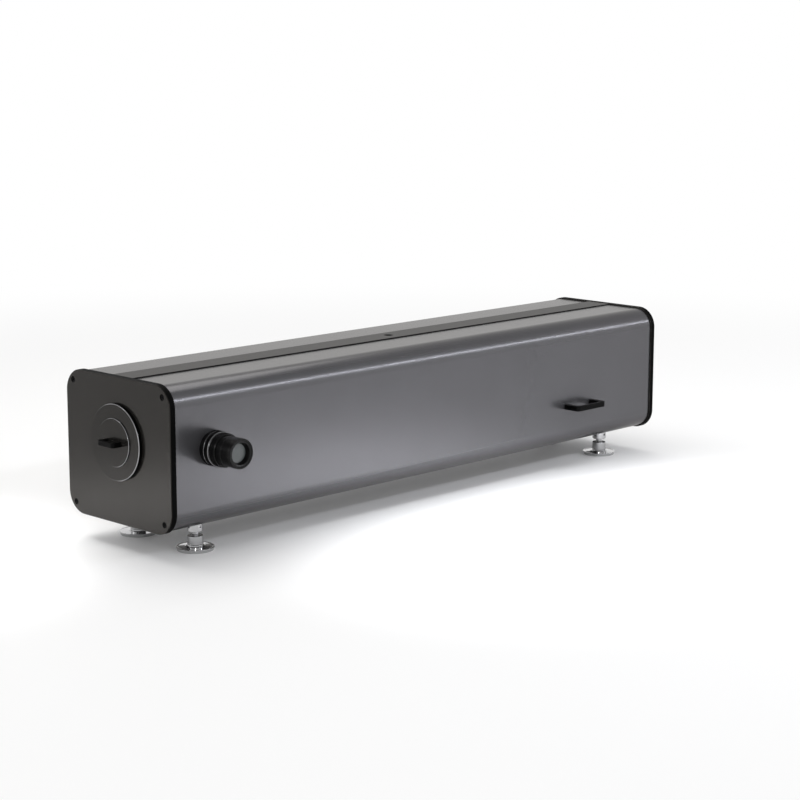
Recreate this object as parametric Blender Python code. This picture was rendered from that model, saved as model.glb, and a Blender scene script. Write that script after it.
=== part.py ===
"""Off-axis reflective optical collimator on four levelling feet.

Metres, +Z up. The pieces are modelled in the housing's own frame: X runs along the tube from the outer
face of the aperture plate, Y and Z are measured from the middle of the tube's section, and the port
looks to -Y. One empty carries everything, so that the part stands on Z = 0 with the origin under the
middle of its box.
"""
import bpy
import bmesh
from math import acos, atan2, cos, hypot, pi, radians, sin
from mathutils import Matrix, Vector

# Clearances, and how far a cutting tool stands past what it cuts
SEAT = 0.0003
RUNNING = 0.0003
PAST = 0.010

# End plates
plate_width = 0.352
plate_height = 0.320
plate_thickness = 0.015
plate_corner = 0.050
plate_chamfer = 0.0012
body_length = 1.627

# Housing shells and the rail that joins them
plate_proud = 0.0033
shell_wall = 0.004
screw_port_overlap = 0.002
screw_port_wall = 0.003
rail_width = 0.068
rail_lip = 0.010
rail_proud = 0.0025
rail_flange = 0.003
lifting_hole_radius = 0.009
lifting_hole_depth = 0.008
lifting_hole_chamfer = 0.001

# Base plate inside the housing
base_margin = 0.027
base_thickness = 0.012

# Plate screws
screw_inset = 0.0245
screw_radius = 0.003
screw_head_radius = 0.005
screw_head_height = 0.006
screw_length = 0.024
screw_sunk = 0.0012
screw_head_room = 0.0006
screw_socket_radius = 0.0029
screw_socket_floor = 0.003

# Aperture and its cap
beam_height = 0.0195
clear_radius = 0.075
bore_radius = 0.0781
cap_radius = 0.0832
cap_thickness = 0.0089
cap_boss_radius = 0.0525
cap_boss_height = 0.003
cap_chamfer = 0.0012
cap_spigot = 0.012
cap_spigot_wall = 0.005
cap_web = 0.003
cap_screw_radius = 0.0018
cap_screw_depth = 0.010
stop_ring_radius = 0.090
stop_ring_thickness = 0.003

# Bridge handles
cap_handle_length = 0.055
cap_handle_reach = 0.023
cap_handle_height = 0.011
cap_handle_leg = 0.009
cap_handle_bar = 0.008
side_handle_length = 0.110
side_handle_reach = 0.046
side_handle_height = 0.013
side_handle_leg = 0.013
side_handle_bar = 0.011
side_handle_from_end = 0.305
side_handle_drop = 0.0545
side_handle_screw_depth = 0.014
handle_chamfer = 0.0012
handle_outer_round = 0.9
handle_inner_round = 0.5

# Focusing port
port_x = 0.116
port_height = 0.016
port_reach = 0.092
draw_radius = 0.0325
draw_bore = 0.0260
draw_wall_at_cell = 0.004
draw_inside = 0.030
neck_wall = 0.0018
flange_radius = 0.0365
flange_thickness = 0.0042
focus_ring_radius = 0.0385
focus_ring_length = 0.0245
neck_reach = 0.034
lock_ring_radius = 0.0365
lock_ring_length = 0.0118
knurl_depth = 0.0007
knurl_chamfer = 0.0013
focus_flutes = 32
lock_flutes = 28
ring_nut_radius = 0.043
ring_nut_thickness = 0.006
draw_groove = 0.001
reticle_thickness = 0.003
reticle_ring_length = 0.010
reticle_ring_bore = 0.020
reticle_ring_flare = 0.004
reticle_inset = 0.001

# Levelling feet
foot_inset = 0.126
foot_spread = 0.196
foot_height = 0.0643
stem_radius = 0.008
stem_above_base = 0.006
sleeve_radius = 0.0175
nut_height = 0.0225
nut_hole_radius = 0.003
nut_hole_depth = 0.005
neck_gap = 0.0093
pad_radius = 0.042
pad_height = 0.0092
pad_step = 0.002
pad_slope = 0.0015
pad_collar = 0.003
pad_socket_depth = 0.005
pad_socket_radius = 0.006

# Optics inside
focal_length = 1.500
mirror_from_end = 0.167
mirror_radius = 0.080
mirror_thickness = 0.028
fold_offset = 0.112
fold_radius = 0.015
fold_thickness = 0.006
fold_cell_wall = 0.0025
fold_cell_back = 0.004
fold_cell_lip = 0.0005
fold_arm_width = 0.014
fold_arm_height = 0.020
cell_wall = 0.012
cell_back = 0.010
cell_lip = 0.0065
cell_chamfer = 0.002
clip_width = 0.014
clip_overlap = 0.003
clip_thickness = 0.002
stand_gap = 0.008
stand_thickness = 0.015
stand_width = 0.170
stand_rise = 0.022
stand_foot = 0.060
stand_foot_thickness = 0.010
gusset_width = 0.008
gusset_inset = 0.001
gusset_rise = 0.7
tilt_screw_radius = 0.004
tilt_screw_circle = 0.072
tilt_knob_radius = 0.010
tilt_knob_height = 0.012
draw_bolt_radius = 0.006
draw_bolt_head = 0.010
draw_bolt_head_height = 0.008
baffle_count = 3
baffle_thickness = 0.002
baffle_groove = 0.004
baffle_margin = 0.003
baffle_clearance = 0.0015

# Worked out from the sizes above
half_width = plate_width / 2 - plate_proud
half_height = plate_height / 2 - plate_proud
tube_corner = plate_corner - plate_proud
tube_start = plate_thickness + SEAT
tube_end = body_length - plate_thickness - SEAT
corner_y = half_width - tube_corner
corner_z = half_height - tube_corner
screw_y = plate_width / 2 - screw_inset
screw_z = plate_height / 2 - screw_inset
inner_radius = tube_corner - shell_wall
screw_port_offset = hypot(screw_y - corner_y, screw_z - corner_z)
screw_port_reach = inner_radius - screw_port_offset + screw_port_overlap
screw_port_radius = max(screw_port_reach, screw_radius + screw_port_wall)
base_width = foot_spread + 2 * base_margin
base_bottom = -half_height + shell_wall + SEAT
base_top = base_bottom + base_thickness
rail_under = half_height - shell_wall - SEAT - rail_flange
cap_front = cap_thickness + cap_boss_height
handle_x = body_length - side_handle_from_end
neck_in = draw_radius + RUNNING
neck_out = neck_in + neck_wall
mirror_x = body_length - mirror_from_end
feet_floor = -half_height - foot_height
box_low = Vector((-cap_front - cap_handle_reach, -half_width - port_reach, feet_floor))
box_high = Vector((body_length, half_width + side_handle_reach, plate_height / 2))
steps = 7

FINISHES = {
    "housing": ((0.16, 0.16, 0.165), 0.85, 0.42),
    "rail": ((0.09, 0.088, 0.086), 0.8, 0.5),
    "plate": ((0.045, 0.042, 0.040), 0.7, 0.35),
    "black": ((0.012, 0.012, 0.013), 0.4, 0.45),
    "steel": ((0.75, 0.75, 0.76), 1.0, 0.16),
    "bolt": ((0.03, 0.03, 0.032), 0.9, 0.4),
    "machined": ((0.55, 0.55, 0.56), 1.0, 0.35),
    "mirror": ((0.9, 0.92, 0.93), 1.0, 0.03),
    "glass": ((0.8, 0.84, 0.84), 0.0, 0.3),
}


def clear_scene():
    """Removes the objects that a new file comes with."""
    for thing in list(bpy.data.objects):
        bpy.data.objects.remove(thing, do_unlink=True)


def stand_frame():
    """The empty that sets the whole part over the origin."""
    frame = bpy.data.objects.new("collimator_frame", None)
    middle = (box_low + box_high) / 2
    frame.location = (-middle.x, -middle.y, -box_low.z)
    bpy.context.scene.collection.objects.link(frame)
    return frame


def solid(name, mesh_edit, finish, at=(0, 0, 0)):
    """Makes one named piece from a bmesh, with its own material, on the part's frame."""
    bmesh.ops.recalc_face_normals(mesh_edit, faces=mesh_edit.faces)
    mesh = bpy.data.meshes.new(name)
    mesh_edit.to_mesh(mesh)
    mesh_edit.free()
    mesh.shade_smooth()
    mesh.set_sharp_from_angle(angle=radians(32))
    piece = bpy.data.objects.new(name, mesh)
    piece.parent = frame
    piece.location = at
    bpy.context.scene.collection.objects.link(piece)
    colour, metallic, roughness = FINISHES[finish]
    material = bpy.data.materials.new(name + "_finish")
    material.use_nodes = True
    shader = material.node_tree.nodes["Principled BSDF"]
    shader.inputs["Base Color"].default_value = (*colour, 1)
    shader.inputs["Metallic"].default_value = metallic
    shader.inputs["Roughness"].default_value = roughness
    mesh.materials.append(material)
    return piece


def boolean(piece, tool_edit, operation="DIFFERENCE"):
    """Cuts a hidden tool out of a piece, or joins it on. The tool shares the piece's origin."""
    bmesh.ops.recalc_face_normals(tool_edit, faces=tool_edit.faces)
    mesh = bpy.data.meshes.new(piece.name + "_tool")
    tool_edit.to_mesh(mesh)
    tool_edit.free()
    tool = bpy.data.objects.new(piece.name + "_tool", mesh)
    tool.parent = frame
    tool.location = piece.location
    tool.hide_render = True
    tool.display_type = "WIRE"
    bpy.context.scene.collection.objects.link(tool)
    modifier = piece.modifiers.new("tool", "BOOLEAN")
    modifier.operation = operation
    modifier.solver = "EXACT"
    modifier.object = tool
    return piece


def arc(cy, cz, radius, start, end, count):
    """Points on an arc, angles in degrees."""
    angles = [radians(start + (end - start) * i / count) for i in range(count + 1)]
    return [(cy + radius * cos(a), cz + radius * sin(a)) for a in angles]


def rounded(width, height, radius, count=steps):
    """A rectangle with round corners, centred, anticlockwise."""
    y = width / 2 - radius
    z = height / 2 - radius
    points = arc(y, z, radius, 0, 90, count)
    points += arc(-y, z, radius, 90, 180, count)
    points += arc(-y, -z, radius, 180, 270, count)
    points += arc(y, -z, radius, 270, 360, count)
    return points


def loft(loops):
    """A closed solid through loops of points with the same count, capped at both ends."""
    shape = bmesh.new()
    rings = [[shape.verts.new(point) for point in loop] for loop in loops]
    shape.faces.new(rings[0])
    shape.faces.new(rings[-1])
    count = len(rings[0])
    for near, far in zip(rings, rings[1:]):
        for i in range(count):
            j = (i + 1) % count
            shape.faces.new((near[i], near[j], far[j], far[i]))
    return shape


def prism(outline, start, end, axis="X"):
    """An outline pushed along an axis from start to end."""
    place = {
        "X": lambda u, v, w: (w, u, v),
        "Y": lambda u, v, w: (u, w, v),
        "Z": lambda u, v, w: (u, v, w),
    }[axis]
    return loft([[place(u, v, w) for u, v in outline] for w in (start, end)])


def box(low, high):
    """A block between two corners."""
    outline = [(low[1], low[2]), (high[1], low[2]), (high[1], high[2]), (low[1], high[2])]
    return prism(outline, low[0], high[0])


def turned(profile, segments, axis="Z", at=(0, 0, 0), flutes=0):
    """Turns (radius, height) points about an axis through a point.

    A profile that starts and ends on the axis is a closed body. Any other is a ring, and its last
    point joins its first. A third number on a point is the depth of the flutes there.
    """
    axes = {
        "X": lambda r, a, h: Vector((h, r * cos(a), r * sin(a))),
        "Y": lambda r, a, h: Vector((r * sin(a), h, r * cos(a))),
        "Z": lambda r, a, h: Vector((r * cos(a), r * sin(a), h)),
    }
    place = axes[axis]
    shift = Vector(at)
    count = 2 * flutes if flutes else segments
    shape = bmesh.new()
    rings = []
    for point in profile:
        radius, height = point[:2]
        depth = point[2] if len(point) > 2 else 0
        if radius == 0:
            rings.append([shape.verts.new(shift + place(0, 0, height))])
            continue
        ring = []
        for i in range(count):
            r = radius - depth * (i % 2)
            ring.append(shape.verts.new(shift + place(r, 2 * pi * i / count, height)))
        rings.append(ring)
    pairs = list(zip(rings, rings[1:]))
    if len(rings[0]) > 1:
        pairs.append((rings[-1], rings[0]))
    for near, far in pairs:
        for i in range(count):
            j = (i + 1) % count
            if len(near) == 1:
                shape.faces.new((near[0], far[j], far[i]))
            elif len(far) == 1:
                shape.faces.new((near[i], near[j], far[0]))
            else:
                shape.faces.new((near[i], near[j], far[j], far[i]))
    return shape


def joined(shapes):
    """Puts several separate closed shapes into one mesh."""
    whole = bmesh.new()
    for shape in shapes:
        part = bpy.data.meshes.new("part")
        shape.to_mesh(part)
        shape.free()
        whole.from_mesh(part)
        bpy.data.meshes.remove(part)
    return whole


def rods(places, radius, start, end, axis="X", segments=12):
    """Plain round rods along an axis, for holes and pins. Places are the other two coordinates."""
    spread = {"X": lambda u, v: (0, u, v), "Y": lambda u, v: (u, 0, v), "Z": lambda u, v: (u, v, 0)}[axis]
    profile = [(0, start), (radius, start), (radius, end), (0, end)]
    return joined([turned(profile, segments, axis, spread(u, v)) for u, v in places])


def corners(y, z):
    """The four places at plus and minus y and z."""
    return [(sy * y, sz * z) for sy in (-1, 1) for sz in (-1, 1)]


def socket_screw(name, at, seat, out, axis="X"):
    """One socket head screw. The head's underside is at seat, and the head stands towards out."""
    head = screw_head_radius
    top = seat + out * screw_head_height
    profile = headed(screw_radius, head, seat - out * screw_length, seat, top)
    screw = solid(name, turned(profile, 12, axis), "bolt", at)
    floor = seat + out * screw_socket_floor
    mouth = top + out * PAST
    socket = [(0, floor), (screw_socket_radius, floor), (screw_socket_radius, mouth), (0, mouth)]
    return boolean(screw, turned(socket, 6, axis))


def inner_corner(sign_y, sign_z):
    """The shell's inner corner with the screw port standing in from it, from the side wall on."""
    inner = inner_radius
    offset = screw_port_offset
    boss = screw_port_radius
    heading = atan2(screw_z - corner_z, screw_y - corner_y)
    spread = acos((inner ** 2 + offset ** 2 - boss ** 2) / (2 * inner * offset))
    first = [(i / 3) * (heading - spread) for i in range(4)]
    last = [heading + spread + (i / 3) * (pi / 2 - heading - spread) for i in range(4)]
    meet_y = inner * cos(heading + spread) - offset * cos(heading)
    meet_z = inner * sin(heading + spread) - offset * sin(heading)
    meet = atan2(meet_z, meet_y)
    half_turn = heading + pi - meet
    points = [(inner * cos(a), inner * sin(a)) for a in first]
    port_y = offset * cos(heading)
    port_z = offset * sin(heading)
    for i in range(1, 6):
        a = heading + pi + half_turn - 2 * half_turn * i / 6
        points.append((port_y + boss * cos(a), port_z + boss * sin(a)))
    points += [(inner * cos(a), inner * sin(a)) for a in last]
    return [(sign_y * (corner_y + y), sign_z * (corner_z + z)) for y, z in points]


def shell_outline(side):
    """Section of one half shell: side -1 is the port's side, +1 the far side."""
    rail_edge = rail_width / 2 - rail_lip
    seam = SEAT
    outer = [(side * rail_edge, half_height)]
    top = arc(corner_y, corner_z, tube_corner, 90, 0, steps)
    outer += [(side * y, z) for y, z in top]
    outer += [(side * y, -z) for y, z in reversed(top)]
    outer += [(side * seam, -half_height), (side * seam, -half_height + shell_wall)]
    outer += list(reversed(inner_corner(side, -1)))
    outer += inner_corner(side, 1)
    outer.append((side * rail_edge, half_height - shell_wall))
    return outer


def foot_places():
    """X and Y of the four feet."""
    stations = (foot_inset, body_length - foot_inset)
    return [(x, side * foot_spread / 2) for x in stations for side in (-1, 1)]


def handle_screw_places(middle, height, length, leg):
    """Where a bridge handle's two screws pass through what carries it."""
    reach = length / 2 - leg / 2
    return [(middle - reach, height), (middle + reach, height)]


def build_shells():
    """Two extruded half shells with screw ports, drilled for the feet, the port and the handles."""
    bore = screw_radius + RUNNING
    for name, side in (("port_side_shell", -1), ("far_side_shell", 1)):
        shell = solid(name, prism(shell_outline(side), tube_start, tube_end), "housing")
        own_ports = [place for place in corners(screw_y, screw_z) if place[0] * side > 0]
        holes = [rods(own_ports, bore, tube_start - PAST, tube_start + screw_length)]
        holes.append(rods(own_ports, bore, tube_end - screw_length, tube_end + PAST))
        feet = [(x, y) for x, y in foot_places() if y * side > 0]
        holes.append(rods(feet, stem_radius + 2 * RUNNING, -half_height - PAST, base_bottom, "Z"))
        wall = sorted((side * (half_width + PAST), side * (half_width - shell_wall - PAST)))
        places = handle_screw_places(handle_x, -side_handle_drop, side_handle_length, side_handle_leg)
        holes.append(rods(places, bore, wall[0], wall[1], "Y"))
        if side < 0:
            holes.append(rods([(port_x, port_height)], neck_out + SEAT, wall[0], wall[1], "Y", 48))
        boolean(shell, joined(holes))


def build_rail():
    """The rail over the joint of the shells, an H in section, with the lifting hole at mid length."""
    wide = rail_width / 2
    web = rail_width / 2 - rail_lip - SEAT
    over = half_height + SEAT
    under = half_height - shell_wall - SEAT
    half = [(wide, half_height + rail_proud), (wide, over), (web, over), (web, under), (wide, under)]
    half.append((wide, rail_under))
    outline = half + [(-y, z) for y, z in reversed(half)]
    rail = solid("top_rail", prism(outline, tube_start, tube_end), "rail")
    top = half_height + rail_proud
    edge = lifting_hole_chamfer
    radius = lifting_hole_radius
    profile = [(0, top - lifting_hole_depth), (radius, top - lifting_hole_depth), (radius, top - edge)]
    profile += [(radius + 2 * edge, top + edge), (0, top + edge)]
    boolean(rail, turned(profile, 24, "Z", (body_length / 2, 0, 0)))


def baffle_stations():
    """Where the baffles stand, evenly between the aperture and the mirror."""
    pitch = mirror_x / (baffle_count + 1)
    return [pitch * (i + 1) for i in range(baffle_count)]


def build_base():
    """The base plate, with the bores that the feet screw into and the baffles' grooves."""
    low = (tube_start, -base_width / 2, base_bottom)
    high = (tube_end, base_width / 2, base_top)
    base = solid("base_plate", box(low, high), "machined")
    tools = [rods(foot_places(), stem_radius + RUNNING, base_bottom - PAST, base_top + PAST, "Z", 24)]
    half = baffle_thickness / 2 + SEAT
    groove = base_top - baffle_groove
    for x in baffle_stations():
        tools.append(box((x - half, -base_width, groove), (x + half, base_width, base_top + PAST)))
    boolean(base, joined(tools))


def plate_loop(x, inset):
    """The end plate's outline at x, drawn in by a distance."""
    outline = rounded(plate_width - 2 * inset, plate_height - 2 * inset, plate_corner - inset)
    return [(x, y, z) for y, z in outline]


def end_plate(name, outer, inward):
    """A rounded plate, chamfered round its outer face, with counterbored holes for its screws."""
    step = inward * plate_chamfer
    inner = outer + inward * plate_thickness
    loops = [plate_loop(outer, plate_chamfer), plate_loop(outer + step, 0)]
    loops += [plate_loop(inner - step / 2, 0), plate_loop(inner, plate_chamfer / 2)]
    plate = solid(name, loft(loops), "plate")
    places = corners(screw_y, screw_z)
    counterbore = outer + inward * (screw_head_height + screw_sunk)
    through = sorted((outer - inward * PAST, inner + inward * PAST))
    boolean(plate, rods(places, screw_radius + RUNNING, through[0], through[1]))
    sunk = sorted((outer - inward * PAST, counterbore))
    return boolean(plate, rods(places, screw_head_radius + screw_head_room, sunk[0], sunk[1]))


def build_plates():
    """The two end plates with their recessed corner screws."""
    front = end_plate("aperture_plate", 0, 1)
    boolean(front, rods([(0, beam_height)], bore_radius, -PAST, plate_thickness + PAST, "X", 48))
    end_plate("mirror_end_plate", body_length, -1)
    sunk = screw_head_height + screw_sunk - SEAT
    for i, (y, z) in enumerate(corners(screw_y, screw_z)):
        socket_screw("aperture_plate_screw_%d" % (i + 1), (0, y, z), sunk, -1)
        socket_screw("mirror_end_plate_screw_%d" % (i + 1), (body_length, y, z), -sunk, 1)


def build_stop_ring():
    """The ring behind the aperture plate that sets the clear aperture, its bore opening inwards."""
    near = plate_thickness + SEAT
    far = near + stop_ring_thickness
    flare = clear_radius + stop_ring_thickness / 3
    profile = [(clear_radius, near), (stop_ring_radius, near), (stop_ring_radius, far), (flare, far)]
    solid("aperture_stop_ring", turned(profile, 36, "X", (0, 0, beam_height)), "black")


def build_cap():
    """The turned cap: stepped disc with a spigot, and its bridge handle."""
    centre = (0, 0, beam_height)
    spigot = bore_radius - RUNNING
    hollow = spigot - cap_spigot_wall
    profile = [(0, -cap_front), (cap_boss_radius, -cap_front), (cap_boss_radius, -cap_thickness)]
    profile += [(cap_radius - cap_chamfer, -cap_thickness), (cap_radius, -cap_thickness + cap_chamfer)]
    profile += [(cap_radius, -SEAT), (spigot, -SEAT), (spigot, cap_spigot)]
    profile += [(hollow, cap_spigot), (hollow, -cap_web), (0, -cap_web)]
    cap = solid("aperture_cap", turned(profile, 48, "X"), "plate", centre)
    places = handle_screw_places(0, 0, cap_handle_length, cap_handle_leg)
    drill = cap_screw_radius + RUNNING
    boolean(cap, rods(places, drill, -cap_front - PAST, PAST))
    outline = bridge(cap_handle_length, cap_handle_reach - SEAT, cap_handle_leg, cap_handle_bar)
    points = [(-cap_front - SEAT - v, u) for u, v in outline]
    half = cap_handle_height / 2
    handle = solid("cap_handle", bevelled(points, -half, half), "black", centre)
    boolean(handle, rods(places, drill, -cap_front - cap_screw_depth, 0))


def bridge(length, reach, leg, bar):
    """Outline of a bridge handle: u along it, v away from its seat. Rounder outside than inside."""
    half = length / 2
    outer = bar * handle_outer_round
    inner = bar * handle_inner_round
    right = [(half, 0)]
    right += [(half - outer + outer * cos(a), reach - outer + outer * sin(a)) for a in quarter()]
    inside = half - leg
    under = reach - bar
    left_inner = [(inside - inner + inner * cos(a), under - inner + inner * sin(a)) for a in quarter()]
    left = [(-u, v) for u, v in reversed(right)]
    outline = right + left
    outline += [(-inside, 0)]
    outline += [(-u, v) for u, v in left_inner]
    outline += list(reversed(left_inner))
    outline += [(inside, 0)]
    return outline


def quarter():
    """Angles of a quarter turn."""
    return [pi / 2 * i / 3 for i in range(4)]


def bevelled(outline, low, high):
    """An outline in X and Y pushed along Z, with its long edges broken by a small chamfer."""
    edge = handle_chamfer
    inner = offset_outline(outline, edge)
    loops = [(low, inner), (low + edge, outline), (high - edge, outline), (high, inner)]
    return loft([[(x, y, z) for x, y in points] for z, points in loops])


def offset_outline(outline, distance):
    """The outline moved inwards by a distance, corner by corner."""
    points = [Vector(point) for point in outline]
    following = points[1:] + points[:1]
    area = sum(here.x * there.y - there.x * here.y for here, there in zip(points, following))
    turn = 1 if area > 0 else -1
    moved = []
    for i, here in enumerate(points):
        before = (here - points[i - 1]).normalized()
        after = (following[i] - here).normalized()
        normal_a = Vector((-before.y, before.x)) * turn
        normal_b = Vector((-after.y, after.x)) * turn
        middle = (normal_a + normal_b).normalized()
        moved.append(here + middle * distance / max(middle.dot(normal_a), 0.5))
    return [(point.x, point.y) for point in moved]


def build_side_handles():
    """Bridge handles near the mirror end, screwed on from inside the shells."""
    outline = bridge(side_handle_length, side_handle_reach - SEAT, side_handle_leg, side_handle_bar)
    places = handle_screw_places(0, 0, side_handle_length, side_handle_leg)
    half = side_handle_height / 2
    for name, side in (("port_side_handle", -1), ("far_side_handle", 1)):
        points = [(u, side * (SEAT + v)) for u, v in outline]
        centre = (handle_x, side * half_width, -side_handle_drop)
        handle = solid(name, bevelled(points, -half, half), "black", centre)
        ends = sorted((-side * PAST, side * side_handle_screw_depth))
        boolean(handle, rods(places, screw_radius + RUNNING, ends[0], ends[1], "Y"))


def port_ring(name, profile, segments, finish, flutes=0):
    """A turned piece on the port's axis. Heights in the profile are distances out from the wall."""
    flipped = [(point[0], -point[1], *point[2:]) for point in profile]
    at = (port_x, -half_width, port_height)
    return solid(name, turned(flipped, segments, "Y", flutes=flutes), finish, at)


def knurled_ring(name, inner, outer, start, end, flutes):
    """A knurled ring on the port's axis: a fluted band between two chamfered edges."""
    edge = knurl_chamfer
    root = outer - knurl_depth - edge
    port_ring(name, [
        (inner, start), (root, start), (outer, start + edge, knurl_depth),
        (outer, end - edge, knurl_depth), (root, end), (inner, end),
    ], 0, "black", flutes)


def build_port():
    """The focusing port: flange and neck, ring nut, two knurled rings, draw tube and reticle."""
    wall_inside = -shell_wall - SEAT
    nut_low = wall_inside - ring_nut_thickness
    port_ring("port_flange", [
        (neck_in, nut_low), (neck_out, nut_low), (neck_out, SEAT), (flange_radius, SEAT),
        (flange_radius, flange_thickness), (neck_out, flange_thickness), (neck_out, neck_reach),
        (neck_in, neck_reach),
    ], 36, "black")
    nut_bore = neck_out + SEAT
    nut_rim = ring_nut_radius
    port_ring("port_ring_nut", [
        (nut_bore, nut_low), (nut_rim, nut_low), (nut_rim, wall_inside), (nut_bore, wall_inside),
    ], 32, "black")
    start = flange_thickness + RUNNING
    knurled_ring("focus_ring", nut_bore, focus_ring_radius, start, start + focus_ring_length, focus_flutes)
    start = neck_reach + RUNNING
    end = start + lock_ring_length
    knurled_ring("clamp_ring", neck_in, lock_ring_radius, start, end, lock_flutes)
    cell_bore = draw_radius - draw_wall_at_cell
    shoulder = port_reach - reticle_inset - reticle_ring_length - reticle_thickness - 2 * SEAT
    groove_at = (end + port_reach) / 2
    port_ring("draw_tube", [
        (draw_bore, -draw_inside), (draw_radius, -draw_inside), (draw_radius, groove_at - draw_groove),
        (draw_radius - draw_groove, groove_at), (draw_radius, groove_at + draw_groove),
        (draw_radius, port_reach), (cell_bore, port_reach), (cell_bore, shoulder), (draw_bore, shoulder),
    ], 36, "black")
    glass_low = shoulder + SEAT
    glass_high = glass_low + reticle_thickness
    rim = cell_bore - SEAT
    port_ring("reticle", [(0, glass_low), (rim, glass_low), (rim, glass_high), (0, glass_high)], 32, "glass")
    ring_low = glass_high + SEAT
    ring_high = ring_low + reticle_ring_length
    port_ring("reticle_ring", [
        (reticle_ring_bore, ring_low), (rim, ring_low), (rim, ring_high),
        (reticle_ring_bore + reticle_ring_flare, ring_high),
    ], 32, "black")


def build_feet():
    """Four levelling feet: capstan lock nut, screw with its sleeve, and pad."""
    bore = stem_radius + RUNNING
    nut_top = -half_height - SEAT
    nut_low = nut_top - nut_height
    sleeve_top = nut_low - neck_gap
    pad_top = feet_floor + pad_height
    stem_top = base_top + stem_above_base
    names = ("port_front", "far_front", "port_rear", "far_rear")
    for name, (x, y) in zip(names, foot_places()):
        at = (x, y, 0)
        profile = [(bore, nut_low), (sleeve_radius, nut_low), (sleeve_radius, nut_top), (bore, nut_top)]
        nut = solid("lock_nut_" + name, turned(profile, 24), "steel", at)
        spots = []
        middle = (nut_low + nut_top) / 2
        deep = sleeve_radius - nut_hole_depth
        for i in range(4):
            spot = rods([(0, middle)], nut_hole_radius, deep, sleeve_radius + PAST, "X", 8)
            turn = Matrix.Rotation(i * pi / 2, 3, "Z")
            bmesh.ops.rotate(spot, verts=spot.verts, matrix=turn)
            spots.append(spot)
        boolean(nut, joined(spots))
        ball = pad_socket_radius
        ball_low = pad_top - pad_socket_depth + SEAT
        profile = [(0, ball_low), (ball, ball_low), (ball, pad_top + SEAT), (sleeve_radius, pad_top + SEAT)]
        profile += [(sleeve_radius, sleeve_top), (stem_radius, sleeve_top), (stem_radius, stem_top)]
        profile.append((0, stem_top))
        solid("foot_screw_" + name, turned(profile, 24), "steel", at)
        socket = ball + RUNNING
        foot = pad_radius - pad_step
        waist = feet_floor + pad_height / 2
        collar = sleeve_radius + pad_collar
        profile = [(0, feet_floor), (foot, feet_floor), (foot, waist - pad_step / 4), (pad_radius, waist)]
        profile += [(pad_radius, pad_top - pad_slope), (collar, pad_top), (socket, pad_top)]
        profile += [(socket, pad_top - pad_socket_depth), (0, pad_top - pad_socket_depth)]
        solid("foot_pad_" + name, turned(profile, 28), "steel", at)


def light_path():
    """The fold point, the mirror's middle, and the side offset of the mirror's parent axis."""
    fold = Vector((port_x, -fold_offset, port_height))
    mirror = Vector((mirror_x, 0, beam_height))
    run = mirror - fold
    behind = focal_length - run.length
    source = fold - run.normalized() * behind
    return fold, mirror, source


def build_mirror():
    """The off-axis parabolic mirror, cut from a paraboloid whose axis lies beside the tube's."""
    fold, mirror, source = light_path()
    offset = mirror - source
    side = hypot(offset.y, offset.z)
    parent = (focal_length + offset.x) / 2
    rings = 4
    around = 36
    back = mirror_x + mirror_thickness
    shape = bmesh.new()

    def face_x(y, z):
        away = ((mirror.y + y - source.y) ** 2 + (mirror.z + z - source.z) ** 2) - side ** 2
        return mirror_x - away / (4 * parent)

    centre = shape.verts.new((face_x(0, 0), mirror.y, mirror.z))
    loops = []
    for i in range(1, rings + 1):
        radius = mirror_radius * i / rings
        loop = []
        for j in range(around):
            a = 2 * pi * j / around
            y = radius * cos(a)
            z = radius * sin(a)
            loop.append(shape.verts.new((face_x(y, z), mirror.y + y, mirror.z + z)))
        loops.append(loop)
    rim = [shape.verts.new((back, vert.co.y, vert.co.z)) for vert in loops[-1]]
    loops.append(rim)
    for j in range(around):
        k = (j + 1) % around
        shape.faces.new((centre, loops[0][j], loops[0][k]))
        for near, far in zip(loops, loops[1:]):
            shape.faces.new((near[j], near[k], far[k], far[j]))
    shape.faces.new(rim)
    solid("parabolic_mirror", shape, "mirror")


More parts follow.
